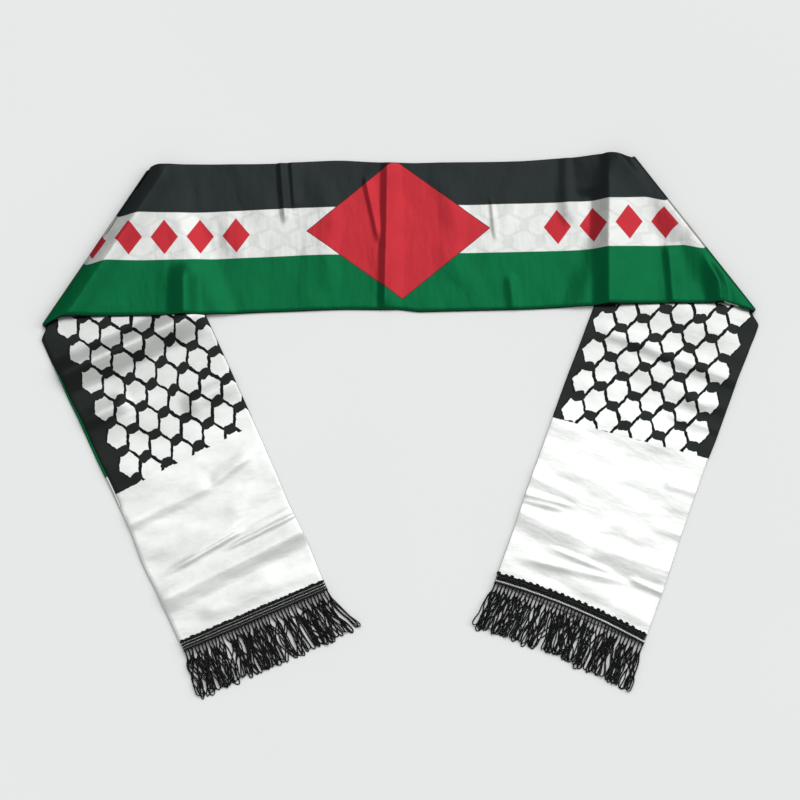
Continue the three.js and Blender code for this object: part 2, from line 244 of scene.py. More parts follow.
TAILS = (
    Tail(Side.LEFT, -1, 1, ((-239, 71), (-340, -82)), -66, (-135.2, -368.2), 0, 0, np.array([
        (0, 72.5, -73), (45, 74, -73.5), (80, 73, -75), (120, 74, -73), (155, 74.5, -73.6),
        (200, 74.8, -74.7), (230, 75, -74.8), (262, 75, -75.8), (310, 75, -76.2)])),
    Tail(Side.RIGHT, 1, -1, ((229, 71.5), (336.5, -87)), -109.5, (160.3, -361.7), 5, 4.5, np.array([
        (0, 75, -75), (40, 75, -75.5), (100, 76, -74.5), (165, 76, -74.5), (200, 76, -75.8),
        (255, 75, -76.2), (290, 74.5, -77.4), (308, 74.5, -78.2)])),
)


@dataclass(frozen=True)
class Line:
    """Points of the tube's middle surface on one line across it.

    flag_map and net_map give where each point lies on either panel's cloth: along and across it.
    """

    middle: np.ndarray
    facing: np.ndarray
    flag_map: np.ndarray
    net_map: np.ndarray
    lift: np.ndarray


@dataclass(eq=False)
class Laying:
    """How the tube lies: the band, two folds and two tails, all from one set of sizes."""

    wall: float = 1.0
    gap: float = 0.3
    fold_radius: float = 2.5
    band_climb: float = 1.7
    ramp_start: float = 9.0
    ramp_length: float = 24.0
    fold_ease: float = 30.0
    edge_ease: tuple[float, float] = (90.0, 11.0)
    print_ease: float = 60.0
    sag: float = 4.0
    sag_width: float = 15.0
    roll: float = 3.4
    roll_width: float = 12.5
    band_calm: float = 9.0
    tail_calm: float = 14.0
    waves: int = 14
    wave_length: tuple[float, float] = (16, 75)
    wave_turn: float = 0.45
    wave_rise: float = 0.0017
    deepest: float = -0.55
    hem: float = -9.0
    heading_height: float = 11.5
    tails: dict[Side, Tail] = field(default_factory=lambda: {tail.side: tail for tail in TAILS})

    @property
    def half_tube(self) -> float:
        """The middle surface to the outside of either wall."""
        return self.wall + self.gap / 2

    def in_band(self, places: np.ndarray) -> np.ndarray:
        """Plan points from s and w in the band's own frame."""
        return places[:, :1] * direction(self.band_climb) + places[:, 1:] * direction(self.band_climb + 90)

    @lru_cache(maxsize=None)
    def fold_axis(self, tail: Tail) -> tuple[np.ndarray, np.ndarray]:
        """The axis of a fold, moved in along the band by the depth of the bend.

        Args:
            tail: The tail behind the fold.

        Returns:
            The outward plan direction, and s and w of the axis's black and green ends.
        """
        ends = np.array(tail.fold, dtype=float)
        black, green = self.in_band(ends)
        line = (green - black) / np.hypot(*(green - black))
        outward = np.array([line[1], -line[0]])
        out = outward @ direction(self.band_climb)
        ends[:, 0] -= tail.outer * (self.fold_radius + self.half_tube) / abs(out)
        return outward * np.sign(out) * tail.outer, ends

    @lru_cache(maxsize=None)
    def tail_start(self, tail: Tail) -> tuple[np.ndarray, np.ndarray]:
        """Back and w of both ends of a tail where it leaves its fold, the black end first."""
        outward, ends = self.fold_axis(tail)
        return tail.own(self.in_band(ends) - self.gap * outward)

    def tail_edge(self, tail: Tail, end: int, back: np.ndarray) -> np.ndarray:
        """How far one long edge of a tail lies from its centre line.

        Args:
            tail: The tail.
            end: 0 for the black edge and 1 for the green one.
            back: Places back from the fringe.

        Returns:
            The edge's w.
        """
        start_back, start_w = self.tail_start(tail)
        ease = smooth((start_back[end] - back) / self.edge_ease[end])
        return mix(start_w[end], read_table(tail.edges, 1 + end, back), ease)

    def inside(self, tail: Tail, plan: np.ndarray) -> np.ndarray:
        """How far plan points of the band lie inside a fold's axis."""
        outward, ends = self.fold_axis(tail)
        return (self.in_band(ends)[0] - plan) @ outward

    def climb(self, plan: np.ndarray) -> np.ndarray:
        """How far the band's middle surface lies above a tail's, at plan points of the band."""
        height = np.zeros(len(plan))
        for tail in self.tails.values():
            settled = mix(2 * self.fold_radius, 2 * self.half_tube + self.gap,
                          smooth(self.inside(tail, plan) / self.fold_ease))
            back, w = tail.own(plan)
            past = w - self.tail_edge(tail, 0, back)
            fall = 1 - smooth((past - self.ramp_start) / self.ramp_length)
            height = np.maximum(height, settled * fall)
        return height

    @lru_cache(maxsize=None)
    def place_in_tail(self, tail: Tail) -> float:
        """Where a tail's back 0 would lie along the whole scarf, measured outwards."""
        axis, start = self.fold_axis(tail)[1], self.tail_start(tail)[0]
        return float(tail.outer * axis[:, 0].mean() + math.pi * self.fold_radius + start.mean())

    def ends_at_fold(self, tail: Tail, share: np.ndarray) -> tuple[np.ndarray, np.ndarray]:
        """Places on the cloth at a fold's axis, as the band runs into it and as the tail does.

        Args:
            tail: The tail behind the fold.
            share: Shares of the way across.

        Returns:
            The band's places and the tail's, each along and across the cloth.
        """
        axis, (back, w) = self.fold_axis(tail)[1], self.tail_start(tail)
        band = mix(*axis, share[:, None])
        band[:, 1] += self.drifted(band[:, 0]) + self.sag
        along = tail.outer * (self.place_in_tail(tail) - mix(*back, share))
        return band, np.column_stack([along, mix(*w, share)])

    @staticmethod
    def drifted(s: np.ndarray) -> np.ndarray:
        """How far the cloth has slipped across the band at each place along it."""
        return np.interp(s, *DRIFT.T)

    def relief(self, stretch: str, s: np.ndarray, w: np.ndarray) -> np.ndarray:
        """How far creases and the cloth's own unevenness lift the upper wall.

        Args:
            stretch: band, left or right.
            s: Places along the stretch.
            w: Places across it.

        Returns:
            Heights.
        """
        heights = [crease.height(s, w) for crease in CREASES[stretch]]
        ridges = np.maximum(0, np.max(heights, axis=0)) + np.minimum(0, np.min(heights, axis=0))
        random = np.random.default_rng(SEEDS[stretch])
        uneven = np.zeros(len(s))
        for _ in range(self.waves):
            length = random.uniform(*self.wave_length)
            turn = direction(math.degrees(random.normal(0, self.wave_turn)))
            phase = random.uniform(0, math.tau)
            uneven += self.wave_rise * length * np.sin(
                math.tau * (s * turn[0] + w * turn[1]) / length + phase)
        return np.maximum(ridges + uneven, self.deepest)

    def band_line(self, black: float, green: float, share: np.ndarray) -> Line:
        """The band between a place along its black edge and one along its green edge."""
        s = mix(black, green, share)
        w = mix(read_table(BAND_EDGES, 1, black), read_table(BAND_EDGES, 2, green), share)
        plan = self.in_band(np.column_stack([s, w]))
        middle = np.column_stack([plan, self.half_tube + self.climb(plan)])
        lift = self.relief("band", s, w)
        flag_map = np.column_stack([s, w + self.drifted(s)])
        net_map = flag_map.copy()
        for tail in self.tails.values():
            inside = self.inside(tail, plan)
            lift = lift * smooth(inside / self.band_calm)
            if tail.side is Side.LEFT:
                past = inside / self.roll_width - 1
                fall = np.where(past < 0, np.abs(past) ** 1.1, smooth(past / 3))
                lift = np.maximum(lift, self.roll * (1 - fall))
            flag_map[:, 1] += self.sag * (1 - smooth(inside / self.sag_width))
            at_band, at_tail = self.ends_at_fold(tail, share)
            at_band[:, 1] -= self.sag
            at_tail[:, 0] -= tail.outer * math.pi * self.fold_radius
            net_map += (1 - smooth(inside / self.print_ease))[:, None] * (at_tail - at_band)
        return Line(middle, np.array([0.0, 0.0, 1.0]), flag_map, net_map, lift)

    def fold_line(self, tail: Tail, degrees: float, share: np.ndarray) -> Line:
        """A fold's line: 0 degrees on top, where the band arrives, and 180 at its foot."""
        outward, ends = self.fold_axis(tail)
        up, out = direction(degrees)
        plan = self.in_band(mix(*ends, share[:, None])) + self.fold_radius * out * outward
        height = np.full(len(share), self.half_tube + self.fold_radius * (1 + up))
        flag_map, net_map = self.ends_at_fold(tail, share)
        flag_map[:, 0] += tail.outer * self.fold_radius * math.radians(degrees)
        net_map[:, 0] -= tail.outer * self.fold_radius * math.radians(180 - degrees)
        facing = np.array([*(outward * out), up])
        return Line(np.column_stack([plan, height]), facing, flag_map, net_map, np.zeros(len(share)))

    def tail_line(self, tail: Tail, part: float, share: np.ndarray) -> Line:
        """A tail's line, part of the way from its fold to its hem."""
        start, _ = self.tail_start(tail)
        ends = mix(start, self.hem + tail.skew * np.array([1, -1]), part)
        back = mix(*ends, share) + part * tail.bow * 4 * share * (1 - share)
        w = mix(self.tail_edge(tail, 0, ends[0]), self.tail_edge(tail, 1, ends[1]), share)
        middle = np.column_stack([tail.in_plan(back, w), np.full(len(share), self.half_tube)])
        clear = smooth((back - tail.top_line(share) - self.gap) / self.heading_height)
        from_fold = mix(*start, share) - back
        lift = clear * self.relief(tail.side.value, back, w) * smooth(from_fold / self.tail_calm)
        net_map = np.column_stack([tail.outer * (self.place_in_tail(tail) - back), w])
        at_band, at_tail = self.ends_at_fold(tail, share)
        at_band[:, 0] += tail.outer * math.pi * self.fold_radius
        flag_map = net_map + (1 - smooth(from_fold / self.print_ease))[:, None] * (at_band - at_tail)
        return Line(middle, np.array([0.0, 0.0, -1.0]), flag_map, net_map, lift)


class Stretch(Enum):
    """The kinds of row that the walls run through."""

    TAIL = 1
    FOLD = 2
    BAND = 3


@dataclass(frozen=True)
class Row:
    """One row of a wall: its stretch, its tail where it has one, and its place in the stretch."""

    stretch: Stretch
    side: Side | None
    at: tuple[float, ...]
    # Where the painted fold shade starts round a fold, and over how many degrees it comes in.
    fold_shade_from: float = 8.0
    fold_shade_over: float = 50.0

    @property
    def fold_shade(self) -> float:
        """How much painted shade darkens the row: 1 round the outside of a fold, 0 on flat cloth."""
        if self.stretch is not Stretch.FOLD:
            return 0.0
        bends = (self.at[0], 180 - self.at[0])
        return float(math.prod(smooth((bend - self.fold_shade_from) / self.fold_shade_over) for bend in bends))

    def line(self, laying: Laying, share: np.ndarray) -> Line:
        """The row's points for shares of the way across."""
        if self.stretch is Stretch.BAND:
            return laying.band_line(*self.at, share)
        tail = laying.tails[self.side]
        if self.stretch is Stretch.FOLD:
            return laying.fold_line(tail, *self.at, share)
        return laying.tail_line(tail, *self.at, share)


# ---------- Prints ----------
@dataclass(frozen=True)
class NetRepeat:
    """The net's repeat, in mm along and across the scarf, and where it starts at each end.

    starts holds, for each end, where the count starts, its own rise and fall, and the first row.
    ends holds how far back the print ends on the net's panel, with its slant.
    """

    laying: Laying
    rise: tuple[float, float] = (16.2, 16.6)
    fall: tuple[float, float] = (14.1, -16.6)
    columns: int = 8
    half_blend: float = 150.0
    starts: Mapping[Side, tuple] = field(default_factory=lambda: {
        Side.LEFT: ((223.69, -15.37), (16.47, 16.53), (13.49, -16.59), 2),
        Side.RIGHT: ((-254.34, 59.75), (15.94, 16.72), (14.69, -16.67), 7)})
    ends: Mapping[Side, tuple[float, float]] = field(
        default_factory=lambda: {Side.LEFT: (159.3, 0.071), Side.RIGHT: (170.0, -0.067)})
    flag_ends: Mapping[Side, float] = field(default_factory=lambda: {Side.LEFT: 173.0, Side.RIGHT: 168.0})

    def counted(self, side: Side, place: np.ndarray, across: np.ndarray) -> np.ndarray:
        """Steps of the repeat as one end of the scarf counts them."""
        start, rise, fall, first = self.starts[side]
        tail = self.laying.tails[side]
        along = place - tail.outer * self.laying.place_in_tail(tail)
        basis = np.linalg.inv(np.array([rise, fall]).T)
        return (basis @ np.stack([along - start[0], across - start[1]])).T - np.array([0, first])

    def steps(self, place: np.ndarray, across: np.ndarray) -> np.ndarray:
        """Count the repeat's steps at places of the cloth, from one end's count to the other's.

        Args:
            place: Places along the whole scarf.
            across: Places across it.

        Returns:
            Steps along the rising and the falling direction, one row for each place.
        """
        left, right = (self.counted(side, place, across) for side in Side)
        middle = [self.counted(side, np.zeros(1), np.zeros(1)).sum() / 2 for side in Side]
        share = smooth((place + self.half_blend) / (2 * self.half_blend))
        return mix(left + round(middle[1] - middle[0]), right, share[:, None])

    def inside(self, place: np.ndarray, across: np.ndarray, flag: bool) -> np.ndarray:
        """How far inside the printed length each place lies, in mm."""
        depths = []
        for side, (end, slant) in self.ends.items():
            tail = self.laying.tails[side]
            back = self.laying.place_in_tail(tail) - tail.outer * place
            depths.append(back - (self.flag_ends[side] if flag else end + slant * across))
        return np.minimum(*depths)


# ---------- Walls ----------
@dataclass(frozen=True)
class Seam:
    """Where the two panels meet round the tube's sides, from the tube's side towards the net."""

    black: tuple[tuple[float, float], ...] = ((-800, 0.6), (800, 0.3))
    green: tuple[tuple[float, float], ...] = (
        (-800, -0.9), (-530, -0.9), (-508, 3.3), (-420, 3.4), (-352, 2.4), (-330, -1.25), (330, -1.2),
        (345, -0.6), (800, -0.4))

    def at(self, place: float) -> list[float]:
        """The seam's place round the black and the green side."""
        return [float(np.interp(place, *np.array(rows, dtype=float).T)) for rows in (self.black, self.green)]


@dataclass
class Panel:
    """One of the tube's two panels, as a closed thin sheet from hem to hem."""

    name: str
    flag: bool
    laying: Laying
    net: NetRepeat
    rows: Sequence[Row]
    cloth: float = 0.4
    sink: float = 0.3
    sink_width: float = 0.5
    seam_gap: float = 0.04
    least_turn: float = 0.9
    round_points: int = 7
    slices: int = 48
    lining_slices: int = 24

    def arc(self, start: np.ndarray, seam: float, inset: float) -> tuple[np.ndarray, np.ndarray]:
        """Points round one side of the tube.

        Args:
            start: Places round the side, from the tube's side towards the net.
            seam: Where the seam lies.
            inset: How far inside the outer face the points lie.

        Returns:
            How far in from the edge each point lies, and how far to the net's side.
        """
        radius = self.laying.half_tube
        turn = np.clip(start / radius, -math.pi / 2, math.pi / 2)
        past = np.maximum(np.abs(start) - radius * math.pi / 2, 0)
        reach = radius - inset - self.sink * np.exp(-(((start - seam) / self.sink_width) ** 2))
        return radius - reach * np.cos(turn) + past, -reach * np.sin(turn)

    def section(self, seams: Sequence[float]) -> list[np.ndarray]:
        """The panel's closed outline across the tube.

        Args:
            seams: The seam's place round the black and the green side.

        Returns:
            Share of the way across, mm in from that share, and mm towards the flag's side.
        """
        way, radius = -1 if self.flag else 1, self.laying.half_tube
        quarter = radius * math.pi / 2
        rings = []
        for inset, slices in ((0.0, self.slices), (self.cloth, self.lining_slices)):
            sides = []
            for seam in seams:
                end = -quarter if self.flag else max(quarter, seam + self.least_turn)
                places = np.linspace(seam + way * self.seam_gap, end, self.round_points)
                sides.append(self.arc(places, seam, inset))
            (black_in, black_n), (green_in, green_n) = sides
            shares = np.linspace(0, 1, slices + 1)[1:-1]
            rings.append([
                np.concatenate([np.zeros(len(black_in)), shares, np.ones(len(green_in))]),
                np.concatenate([black_in, mix(black_in[-1], -green_in[-1], shares), -green_in[::-1]]),
                np.concatenate([black_n, np.full(len(shares), way * (inset - radius)), green_n[::-1]]),
            ])
        return [np.concatenate([outer, inner[::-1]]) for outer, inner in zip(*rings)]

    def rings(self) -> tuple[np.ndarray, ...]:
        """Run the outline through all rows.

        Returns:
            Points, each point's place along and across its own panel, and on the net panel.
        """
        found = []
        for row in self.rows:
            edge = row.line(self.laying, np.array([0.0, 1.0]))
            width = float(np.linalg.norm(edge.middle[1] - edge.middle[0]))
            share, inward, n = self.section(Seam().at(float(edge.flag_map[:, 0].mean())))
            line = row.line(self.laying, share + inward / width)
            spot = line.middle + np.multiply.outer(n, line.facing)
            upper = np.clip(n * line.facing[2] / (self.laying.half_tube - self.cloth), 0, 1)
            spot[:, 2] += upper * line.lift
            found.append((spot, line.flag_map if self.flag else line.net_map, line.net_map))
        return tuple(np.array(kind) for kind in zip(*found))

    def build(self, satin: Satin) -> bpy.types.Object:
        """Make the panel with its maps.

        Args:
            satin: What it is made of.

        Returns:
            The panel.
        """
        points, places, under = self.rings()
        count, size = points.shape[:2]
        grid = np.arange(count * size).reshape(count, size)
        after = np.roll(grid, -1, axis=1)
        quads = np.stack([grid[:-1], after[:-1], after[1:], grid[1:]], axis=-1).reshape(-1, 4)
        caps = [grid[0][::-1].tolist(), grid[-1].tolist()]
        mesh = closed_mesh(self.name, points.reshape(-1, 3), quads, caps)
        place, across = places.reshape(-1, 2).T
        depth = self.net.inside(place, across, self.flag) * MM
        # The second part of the printed map weighs the painted shade round the outside of each fold.
        fold_shade = np.repeat([row.fold_shade for row in self.rows], size)
        for name, values in (("cloth", np.column_stack([place, across]) * MM),
                             ("net", self.net.steps(*under.reshape(-1, 2).T)),
                             ("printed", np.column_stack([depth, fold_shade]))):
            lay_map(mesh, name, values)
        mesh.materials.append(satin.material())
        return show(self.name, mesh)


def closed_mesh(
    name: str, points: np.ndarray, quads: np.ndarray, caps: Sequence[Sequence[int]]
) -> bpy.types.Mesh:
    """Make a smooth mesh from points in mm, with its faces turned outwards.

    Args:
        name: The mesh's name.
        points: The points, in mm.
        quads: Point numbers of each four-sided face.
        caps: Point numbers of each other face.

    Returns:
        The mesh, in metres.
    """
    volume = 0.0
    for half in ((0, 1, 2), (0, 2, 3)):
        a, b, c = (points[quads[:, corner]] for corner in half)
        volume += np.einsum("ij,ij->i", a, np.cross(b, c)).sum()
    faces = [tuple(face) for face in (*quads.tolist(), *caps)]
    if volume < 0:
        faces = [face[::-1] for face in faces]
    mesh = bpy.data.meshes.new(name)
    mesh.from_pydata((points * MM).tolist(), [], faces)
    mesh.shade_smooth()
    return mesh


def lay_map(mesh: bpy.types.Mesh, name: str, values: np.ndarray) -> None:
    """Give a mesh a map with one pair of values for each point."""
    layer = mesh.uv_layers.new(name=name)
    index = np.empty(len(mesh.loops), dtype=np.int32)
    mesh.loops.foreach_get("vertex_index", index)
    layer.data.foreach_set("uv", values[index].astype(np.float32).ravel())


def show(name: str, data: bpy.types.ID) -> bpy.types.Object:
    """Put a mesh, camera or light in the scene."""
    piece = bpy.data.objects.new(name, data)
    bpy.context.scene.collection.objects.link(piece)
    return piece


# ---------- Finishes ----------
MATH, RANGE = "ShaderNodeMath", "ShaderNodeMapRange"
NOISE, BUMP, VECTOR_MATH = "ShaderNodeTexNoise", "ShaderNodeBump", "ShaderNodeVectorMath"


class Nodes:
    """A node tree that is being built."""

    def __init__(self, tree: bpy.types.NodeTree) -> None:
        """Start from an empty tree."""
        self.tree = tree
        tree.nodes.clear()

    def add(
        self, kind: str, inputs: Sequence | Mapping = (), output: int | str = 0, **settings: object
    ) -> Socket | None:
        """Add a node.

        Args:
            kind: The node's type, or in capitals what a math node does.
            inputs: A value or a socket for each input, by order or by name.
            output: The output to hand on.
            **settings: The node's own settings.

        Returns:
            The output's socket, or None where the node has none.
        """
        if kind.isupper():
            kind, settings = MATH, {"operation": kind, **settings}
        node = self.tree.nodes.new(kind)
        for name, value in settings.items():
            setattr(node, name, value)
        pairs = inputs.items() if isinstance(inputs, Mapping) else enumerate(inputs)
        for key, value in pairs:
            if isinstance(value, Socket):
                self.tree.links.new(value, node.inputs[key])
            else:
                node.inputs[key].default_value = value
        return node.outputs[output] if len(node.outputs) else None

    def pair(self, vector: Socket) -> tuple[Socket, ...]:
        """The first two parts of a vector."""
        return tuple(self.add("ShaderNodeSeparateXYZ", (vector,), output=axis) for axis in (0, 1))

    def weigh(self, values: Sequence, weights: Sequence, start: object = 0.0) -> Socket:
        """Add up values, each times its weight, from start on."""
        for value, weight in zip(values, weights):
            start = self.add("MULTIPLY_ADD", (value, weight, start))
        return start

    def below(self, value: Socket, edge: float, soft: float, way: str = "SMOOTHSTEP") -> Socket:
        """Mask of what lies below an edge, which fades out over soft on either side of it."""
        return self.add(RANGE, (value, edge - soft, edge + soft, 1.0, 0.0), interpolation_type=way)

    def blend(self, share: object, a: object, b: object, way: str = "MIX") -> Socket:
        """Blend two colours."""
        return self.add("ShaderNodeMix", {0: share, 6: a, 7: b}, output=2, data_type="RGBA", blend_type=way)


@dataclass(frozen=True)
class Finish:
    """A real material, whose draw adds nodes and gives what goes into the surface."""

    name: str

    def draw(self, nodes: Nodes) -> Mapping[str, object]:
        """Add the nodes, and return what goes into the surface."""
        raise NotImplementedError

    def material(self) -> bpy.types.Material:
        """Build the finish."""
        material = bpy.data.materials.new(self.name)
        material.use_nodes = True
        nodes = Nodes(material.node_tree)
        shader = nodes.add("ShaderNodeBsdfPrincipled", self.draw(nodes))
        nodes.add("ShaderNodeOutputMaterial", {"Surface": shader})
        return material


@dataclass(frozen=True)
class NetDrawing:
    """The net's drawing inside one repeat: a knot at each crossing and a stroke between knots.

    steps holds the sockets of the steps along both directions, and wobble those of the hand-drawn
    waver, in mm.
    """

    nodes: Nodes
    repeat: NetRepeat
    steps: tuple[Socket, ...]
    wobble: tuple[Socket, ...]
    knot_half: float = 4.8
    knot_long: tuple[float, float] = (5.8, 6.8)
    knot_turn: tuple[float, float] = (-0.05, 0.6)
    power: float = 3.2
    knot_edge: float = 0.12
    stroke: float = 1.8
    stroke_chance: float = 0.55
    edge: float = 0.22
    falling: tuple[float, float] = (10.5, -6.5)
    rising: tuple[float, float] = (14.5, 6.5)

    def offset(self, half: tuple[float, float]) -> tuple[Socket, Socket, Socket]:
        """How far a point lies from the nearest crossing, or from a place half a step off it.

        Args:
            half: The part of a step by which the place is off the crossing.

        Returns:
            Sockets of the offset along and across the cloth, in mm, and of a chance of its own.
        """
        add, parts, nears = self.nodes.add, [], []
        for step, off in zip(self.steps, half):
            moved = add("SUBTRACT", (step, off))
            nears.append(add("ROUND", (moved,)))
            parts.append(add("SUBTRACT", (moved, nears[-1])))
        found = [self.nodes.weigh(parts[::-1], weights, waver)
                 for *weights, waver in zip(self.repeat.fall, self.repeat.rise, self.wobble)]
        cell = add("ShaderNodeCombineXYZ", (*nears, half[0] + 7 * half[1]))
        return (*found, add("ShaderNodeTexWhiteNoise", {"Vector": cell}))

    def stroke_mask(self, half: tuple[float, float], vector: tuple[float, float]) -> Socket:
        """Mask of a stroke through a place between two knots."""
        add, (*place, chance) = self.nodes.add, self.offset(half)
        size = vector[0] ** 2 + vector[1] ** 2
        dot = self.nodes.weigh(place[::-1], (vector[1] / size, vector[0] / size))
        along = add("ShaderNodeClamp", (dot, -0.5, 0.5))
        off = [add("MULTIPLY_ADD", (along, -part, value)) for part, value in zip(vector, place)]
        distance = add("POWER", (self.nodes.weigh(off[::-1], off[::-1]), 0.5))
        slim = add("MULTIPLY_ADD", (chance, self.stroke_chance, distance))
        return self.nodes.below(slim, self.stroke, self.edge)

    def knot_mask(self) -> Socket:
        """Mask of a knot: a turned box with round corners, each turned a little more or less."""
        add, (x, y, chance) = self.nodes.add, self.offset((0.0, 0.0))
        turn, size = (add(RANGE, (chance, 0.0, 1.0, *span)) for span in (self.knot_turn, self.knot_long))
        place = add("ShaderNodeCombineXYZ", (x, y, 0.0))
        turned = add("ShaderNodeVectorRotate", {"Vector": place, "Angle": turn})
        terms = []
        for value, half in zip(self.nodes.pair(turned), (self.knot_half, size)):
            terms.append(add("POWER", (add("DIVIDE", (add("ABSOLUTE", (value,)), half)), self.power)))
        return self.nodes.below(add("ADD", terms), 1.0, self.knot_edge)

    def border_mask(self, far: bool) -> Socket:
        """Mask of the solid ground beyond the first row of cells.

        Args:
            far: Whether this is the black side's border, which is the green side's turned half round.

        Returns:
            The mask.
        """
        add, steps, way = self.nodes.add, self.steps, 1.0
        if far:
            steps, way = tuple(add("SUBTRACT", pair) for pair in zip((self.repeat.columns, 1.0), steps)), -1.0
        rise, fall = self.repeat.rise, self.repeat.fall
        period = rise[0] + fall[0]
        along = self.nodes.weigh((steps[1], steps[0], self.wobble[0]),
                                 (fall[0] / period, rise[0] / period, way / period))
        along = add("MULTIPLY", (add("FRACT", (along,)), period))
        height = add("MULTIPLY", (add("SUBTRACT", steps), rise[1]))
        height = add("MULTIPLY_ADD", (self.wobble[1], way, height))
        lines = []
        for middle, (run, climb) in ((fall[0] / 2, self.falling), (fall[0] + rise[0] / 2, self.rising)):
            slope = climb / run
            lines.append(add("MULTIPLY_ADD", (along, slope, fall[1] / 2 - slope * middle)))
        return add("LESS_THAN", (height, add("MAXIMUM", lines)))

    def masks(self) -> tuple[Socket, Socket]:
        """Masks of all that the net prints dark, and of its strokes alone."""
        add, solid = self.nodes.add, self.knot_mask()
        for far in (False, True):
            solid = add("MAXIMUM", (solid, self.border_mask(far)))
        stroke = add("MAXIMUM", (self.stroke_mask((0.0, 0.5), self.falling),
                                 self.stroke_mask((0.5, 0.0), self.rising)))
        return add("MAXIMUM", (solid, stroke)), add("SUBTRACT", (stroke, solid), use_clamp=True)


@dataclass(frozen=True)
class FlagPrint:
    """The flag's three stripes, its large lozenge, and the row of small ones beside it."""

    white_top: float = 30.8
    white_foot: float = -17.4
    foot_slant: float = -0.0035
    lozenge: tuple[float, float] = (86.5, 70.0)
    centre: float = 7.2
    shear: float = 0.025
    small: tuple[float, float] = (13.0, 17.5)
    small_pitch: float = 34.0
    small_from: tuple[float, float] = (-137.0, 134.0)
    small_centre: float = 6.3
    edge: float = 0.3
    outline: float = 0.9
    show_through: float = 0.2


@dataclass(frozen=True)
class Satin(Finish):
    """Polyester satin, woven with long floats and printed after weaving.

    The floats mirror a broad soft highlight in the cloth's own colour, which metallic stands for.
    """

    net: NetRepeat
    white: str = "cfd1cf"
    backed: str = "bcbebc"
    shown_net: str = "858a88"
    ink: str = "1f2424"
    stroke_ink: str = "0e1010"
    red: str = "9c252d"
    green: str = "005530"
    outline: str = "3a1518"
    roughness: float = 0.34
    metallic: float = 0.55
    specular: float = 0.08
    thread: float = 0.45
    # Colour factor of the painted shade at its darkest, round the outside of a fold.
    fold_shade_tone: float = 0.45
    waver: float = 3.6
    ragged: float = 1.6
    print_end: tuple[float, float] = (0.5, 1.1)
    mottle: tuple[float, float, float, float] = (0.3, 0.7, 0.93, 1.03)
    backed_ease: float = 90.0
    flag: FlagPrint | None = None

    def draw(self, nodes: Nodes) -> Mapping[str, object]:
        """Add the nodes, and return what goes into the surface."""
        cloth, steps, printed = (nodes.add("ShaderNodeUVMap", uv_map=name)
                                 for name in ("cloth", "net", "printed"))
        cloth_mm = nodes.add(VECTOR_MATH, (cloth, (1 / MM,) * 3), operation="MULTIPLY")
        # The printed map's second part weighs the painted fold shade.
        depth, fold_shade = nodes.pair(printed)
        depth = nodes.add("MULTIPLY", (depth, 1 / MM))
        waver = nodes.add(NOISE, {"Vector": cloth_mm, "Scale": 0.16, "Detail": 2.0}, output="Color")
        wobble = tuple(nodes.add("MULTIPLY_ADD", (part, self.waver, -self.waver / 2))
                       for part in nodes.pair(waver))
        net, stroke = NetDrawing(nodes, self.net, nodes.pair(steps), wobble).masks()
        ragged = nodes.add(NOISE, {"Vector": cloth_mm, "Scale": 0.35})
        ragged = nodes.add("MULTIPLY_ADD", (ragged, self.ragged, depth))
        inside = nodes.add(RANGE, (ragged, *self.print_end, 0.0, 1.0))
        if self.flag:
            colour = self.flag_colour(nodes, nodes.pair(cloth_mm), net, inside)
        else:
            dark = nodes.add("MULTIPLY", (net, inside))
            ink = nodes.blend(stroke, linear(self.ink), linear(self.stroke_ink))
            # The flag's dyes on the other panel dull the white they lie behind.
            backed = nodes.add(RANGE, (depth, 0.0, self.backed_ease, 0.0, 1.0))
            ground = nodes.blend(backed, linear(self.white), linear(self.backed))
            colour = nodes.blend(dark, ground, ink)
        mottle = nodes.add(NOISE, {"Vector": cloth_mm, "Scale": 0.045, "Detail": 3.0, "Roughness": 0.6})
        shade = nodes.add(RANGE, (mottle, *self.mottle))
        # Painted shade: the colour is darkened in a line round the outside of each fold.
        painted_fold_shade = nodes.add(RANGE, (fold_shade, 0.0, 1.0, 1.0, self.fold_shade_tone))
        for tone in (shade, painted_fold_shade):
            colour = nodes.blend(1.0, colour, nodes.add("ShaderNodeCombineColor", (tone,) * 3), "MULTIPLY")
        return {"Base Color": colour, "Roughness": self.roughness, "Metallic": self.metallic,
                "Normal": self.surface(nodes, cloth_mm), "Specular IOR Level": self.specular}

    def flag_colour(self, nodes: Nodes, at: tuple, net: object, inside: object) -> object:
        """Colour of the flag's panel.

        Args:
            nodes: The tree.
            at: Sockets of the place along and across the scarf, in mm.
            net: Mask of the net on the other panel, which shows through.
            inside: Mask of the printed length.

        Returns:
            The colour's socket.
        """
        flag, (place, across) = self.flag, at
        top = nodes.add(RANGE, (across, flag.white_top - flag.edge, flag.white_top + flag.edge, 0.0, 1.0))
        foot = nodes.add("MULTIPLY_ADD", (place, -flag.foot_slant, across))
        foot = nodes.below(foot, flag.white_foot, flag.edge, "LINEAR")
        # The large lozenge in the middle, and a row of small ones from each side of it to the folds.
        height = nodes.add("SUBTRACT", (across, flag.centre))
        lean = nodes.add("MULTIPLY_ADD", (height, flag.shear, place))
        large = self.lozenge(nodes, lean, height, flag.lozenge)
        rim = self.lozenge(nodes, lean, height, [size + flag.outline for size in flag.lozenge])
        low = nodes.add("SUBTRACT", (across, flag.small_centre))
        small = []
        for start, beyond in zip(flag.small_from, ("LESS_THAN", "GREATER_THAN")):
            cell = nodes.add("FLOORED_MODULO", (nodes.add("SUBTRACT", (place, start)), flag.small_pitch))
            cell = nodes.add("SUBTRACT", (cell, flag.small_pitch / 2))
            beyond = nodes.add(beyond, (place, start))
            small.append(nodes.add("MULTIPLY", (self.lozenge(nodes, cell, low, flag.small), beyond)))
        colour = linear(self.white)
        for mask, tint in (
            (nodes.add("MULTIPLY", (net, flag.show_through)), self.shown_net), (top, self.ink),
            (foot, self.green), (rim, self.outline), (large, self.red),
            (nodes.add("MAXIMUM", small), self.red),
        ):
            colour = nodes.blend(mask, colour, linear(tint))
        return nodes.blend(inside, linear(self.white), colour)

